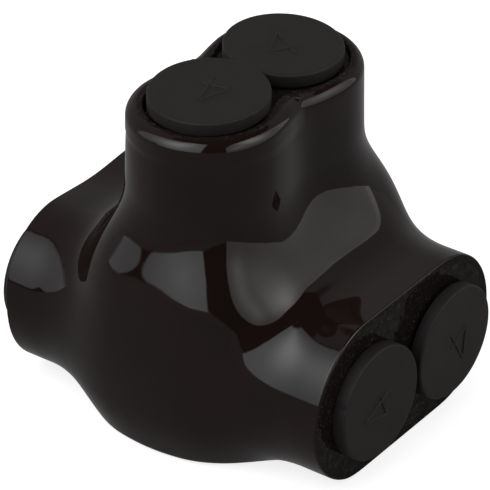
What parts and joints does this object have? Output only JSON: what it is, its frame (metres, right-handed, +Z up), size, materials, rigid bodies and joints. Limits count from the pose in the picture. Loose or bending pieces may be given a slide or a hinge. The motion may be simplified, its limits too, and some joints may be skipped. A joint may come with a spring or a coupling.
{
  "type": "insulated splice connector",
  "caption": "Black insulated splice connector: moulded cover over a metal block, with wire ports at both ends and screw ports on a tower, each closed by a rubber cap.",
  "frame": {"origin": "middle of the flat underside of the cover", "axes": "+X along the wires towards the right snout, +Y across the two ports from near to far, +Z up the screw tower"},
  "size_m": [0.0828, 0.0694, 0.0715],
  "materials": {
    "cover_vinyl": "glossy soft vinyl, nearly black",
    "cap_rubber": "matt black rubber",
    "block_aluminium": "tin plated aluminium",
    "screw_aluminium": "plated, turned"
  },
  "bodies": {
    "covered_block": {"insulating_cover": "cover_vinyl", "connector_block": "block_aluminium"},
    "near_set_screw": {"near_set_screw": "screw_aluminium"},
    "far_set_screw": {"far_set_screw": "screw_aluminium"},
    "near_screw_cap": {"near_screw_cap": "cap_rubber"},
    "far_screw_cap": {"far_screw_cap": "cap_rubber"},
    "right_near_wire_cap": {"right_near_wire_cap": "cap_rubber"},
    "right_far_wire_cap": {"right_far_wire_cap": "cap_rubber"},
    "left_near_wire_cap": {"left_near_wire_cap": "cap_rubber"},
    "left_far_wire_cap": {"left_far_wire_cap": "cap_rubber"}
  },
  "joints": [
    {"name": "near_screw_travel", "type": "slide", "parent": "covered_block", "child": "near_set_screw", "axis": [0, 0, -1], "range_m": [0, 0.012]},
    {"name": "far_screw_travel", "type": "slide", "parent": "covered_block", "child": "far_set_screw", "axis": [0, 0, -1], "range_m": [0, 0.012]},
    {"name": "near_screw_cap_press", "type": "slide", "parent": "covered_block", "child": "near_screw_cap", "axis": [0, 0, -1], "range_m": [-0.03, 0.0011]},
    {"name": "far_screw_cap_press", "type": "slide", "parent": "covered_block", "child": "far_screw_cap", "axis": [0, 0, -1], "range_m": [-0.03, 0]},
    {"name": "right_near_cap_press", "type": "slide", "parent": "covered_block", "child": "right_near_wire_cap", "axis": [-1, 0, 0], "range_m": [-0.03, 0]},
    {"name": "right_far_cap_press", "type": "slide", "parent": "covered_block", "child": "right_far_wire_cap", "axis": [-1, 0, 0], "range_m": [-0.03, 0]},
    {"name": "left_near_cap_press", "type": "slide", "parent": "covered_block", "child": "left_near_wire_cap", "axis": [1, 0, 0], "range_m": [-0.03, 0]},
    {"name": "left_far_cap_press", "type": "slide", "parent": "covered_block", "child": "left_far_wire_cap", "axis": [1, 0, 0], "range_m": [-0.03, 0]}
  ]
}
